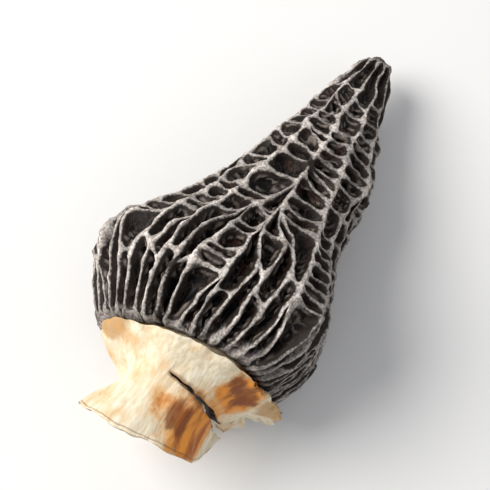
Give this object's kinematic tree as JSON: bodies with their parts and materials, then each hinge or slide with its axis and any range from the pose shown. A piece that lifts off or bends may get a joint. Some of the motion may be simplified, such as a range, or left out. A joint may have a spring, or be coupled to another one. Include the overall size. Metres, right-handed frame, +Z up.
{
  "type": "dried morel mushroom",
  "caption": "Dried black morel lying on its side: a hollow cone-shaped cap with a raised net of ribs and deep pits, on a short hollow cut stem.",
  "frame": {"origin": "on the surface that the morel lies on, under the middle of its bounding box", "axes": "+X from the cut end of the stem towards the tip, +Z up from the surface"},
  "size_m": [0.0516, 0.027, 0.023],
  "materials": {
    "cap_flesh": "matte, near-black, paler grey along the ribs' crests",
    "stem_flesh": "matte cream with orange-brown stains"
  },
  "bodies": {
    "root": {"cap": "cap_flesh", "stem": "stem_flesh"}
  },
  "joints": []
}
